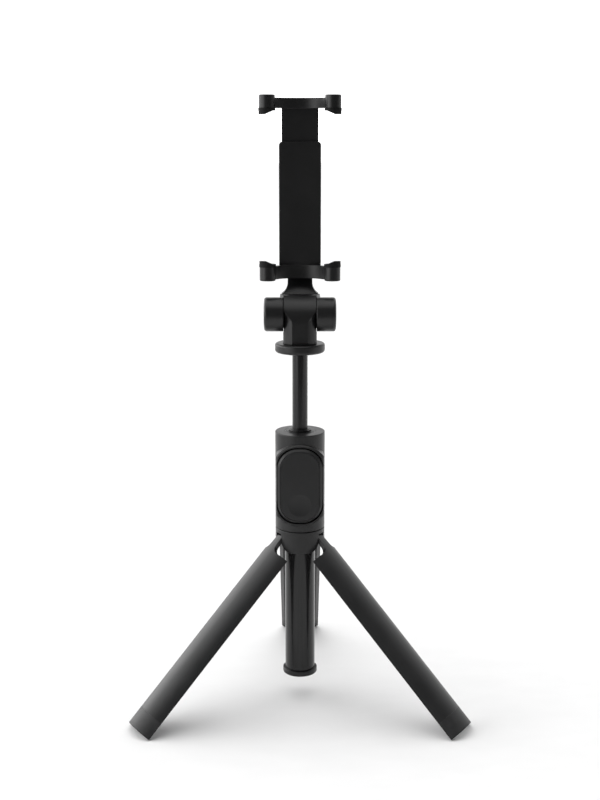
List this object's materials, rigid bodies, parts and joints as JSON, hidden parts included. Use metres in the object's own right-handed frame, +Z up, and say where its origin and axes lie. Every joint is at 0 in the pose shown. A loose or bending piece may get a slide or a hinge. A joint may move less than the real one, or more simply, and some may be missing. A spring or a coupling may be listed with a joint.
{
  "type": "selfie stick",
  "caption": "Black telescopic selfie stick with a folding tripod of curved legs, a pull-out shutter remote in the handle, a tilting and panning head and a sprung phone clamp.",
  "frame": {"origin": "on the pole's axis, at the level of the floor that the opened legs stand on", "axes": "+Z up along the pole; -Y the way the clamp, the phone's screen side and the remote face; +X to the right of someone who looks along +Y"},
  "size_m": [0.1624, 0.1438, 0.2943],
  "materials": {
    "body_plastic": "moulded, satin black with a fine spark texture",
    "leg_plastic": "moulded, smooth satin black",
    "foot_rubber": "matt dark grey, slightly lighter than the legs",
    "pad_rubber": "matt black",
    "pole_metal": "glossy black lacquer over thin steel tube",
    "guide_plastic": "moulded slide bush, dark grey",
    "remote_plastic": "moulded, fine matt black",
    "key_plastic": "moulded, fine matt black",
    "steel": "bright fastener steel",
    "spring_steel": "blued spring steel",
    "washer_plastic": "black low-friction plastic",
    "board": "green circuit board",
    "cell": "foil-wrapped flat cell"
  },
  "bodies": {
    "handle": {"handle_shell": "body_plastic", "leg_yoke": "body_plastic", "leg_pins": "steel", "tube_grip_ring": "guide_plastic", "outer_tube": "pole_metal", "bottom_cap": "body_plastic", "guide_bush_0": "guide_plastic", "remote_catch": "spring_steel"},
    "section_1": {"pole_section_1": "pole_metal", "slide_ring_1": "guide_plastic", "guide_bush_1": "guide_plastic"},
    "section_2": {"pole_section_2": "pole_metal", "slide_ring_2": "guide_plastic", "guide_bush_2": "guide_plastic"},
    "section_3": {"pole_section_3": "pole_metal", "slide_ring_3": "guide_plastic", "guide_bush_3": "guide_plastic"},
    "section_4": {"pole_section_4": "pole_metal", "slide_ring_4": "guide_plastic", "head_flange": "body_plastic"},
    "head": {"head_barrel": "body_plastic", "pan_washer": "washer_plastic", "pan_rivet": "steel", "pan_spring_washer": "spring_steel", "tilt_bushes": "guide_plastic"},
    "arm": {"tilt_fork": "body_plastic", "drum_caps": "body_plastic", "tilt_bolt": "steel", "bolt_spring_washer": "spring_steel", "tilt_nut": "steel", "friction_washers": "washer_plastic", "turn_rivet": "steel"},
    "clamp": {"clamp_rail": "body_plastic", "rail_cover": "body_plastic", "turn_washer": "washer_plastic", "cover_screws": "steel", "lower_jaw_pads": "pad_rubber", "jaw_springs": "spring_steel"},
    "jaw": {"upper_jaw": "body_plastic", "upper_jaw_pads": "pad_rubber"},
    "leg_left": {"leg_shell_left": "leg_plastic", "leg_foot_left": "foot_rubber"},
    "leg_right": {"leg_shell_right": "leg_plastic", "leg_foot_right": "foot_rubber"},
    "leg_rear": {"leg_shell_rear": "leg_plastic", "leg_foot_rear": "foot_rubber"},
    "remote": {"remote_shell": "remote_plastic", "remote_back": "remote_plastic", "remote_board": "board", "shutter_switch": "steel", "remote_battery": "cell", "charge_port": "steel"},
    "key": {"shutter_key": "key_plastic"}
  },
  "joints": [
    {"name": "pole_slide_1", "type": "slide", "parent": "handle", "child": "section_1", "axis": [0, 0, 1], "range_m": [0, 0.085]},
    {"name": "pole_slide_2", "type": "slide", "parent": "section_1", "child": "section_2", "axis": [0, 0, 1], "range_m": [0, 0.085]},
    {"name": "pole_slide_3", "type": "slide", "parent": "section_2", "child": "section_3", "axis": [0, 0, 1], "range_m": [0, 0.085]},
    {"name": "pole_slide_4", "type": "slide", "parent": "section_3", "child": "section_4", "axis": [0, 0, 1], "range_m": [-0.037, 0.0475]},
    {"name": "head_pan", "type": "hinge", "parent": "section_4", "child": "head", "pos_m": [0, 0, 0.1791], "axis": [0, 0, 1], "continuous": true},
    {"name": "clamp_tilt", "type": "hinge", "parent": "head", "child": "arm", "pos_m": [0, 0, 0.1927], "axis": [1, 0, 0], "range_deg": [-20, 175]},
    {"name": "clamp_turn", "type": "hinge", "parent": "arm", "child": "clamp", "pos_m": [0, 0.0193, 0.2515], "axis": [0, 1, 0], "range_deg": [-90, 90]},
    {"name": "jaw_slide", "type": "slide", "parent": "clamp", "child": "jaw", "axis": [0, 0, 1], "range_m": [-0.015, 0.018], "deforming": ["jaw_springs"]},
    {"name": "leg_left_fold", "type": "hinge", "parent": "handle", "child": "leg_left", "pos_m": [-0.00831, -0.0048, 0.08328], "axis": [-0.5, 0.866, 0], "range_deg": [-44.9, 0]},
    {"name": "leg_right_fold", "type": "hinge", "parent": "handle", "child": "leg_right", "pos_m": [0.00831, -0.0048, 0.08328], "axis": [-0.5, -0.866, 0], "range_deg": [-44.9, 0]},
    {"name": "leg_rear_fold", "type": "hinge", "parent": "handle", "child": "leg_rear", "pos_m": [0, 0.0096, 0.08328], "axis": [1, 0, 0], "range_deg": [-44.9, 0]},
    {"name": "remote_pull", "type": "slide", "parent": "handle", "child": "remote", "axis": [0, -1, 0], "range_m": [0, 0.01]},
    {"name": "shutter_press", "type": "slide", "parent": "remote", "child": "key", "axis": [0, 1, 0], "range_m": [0, 0.0004], "stiffness_N_per_m": 2000}
  ]
}
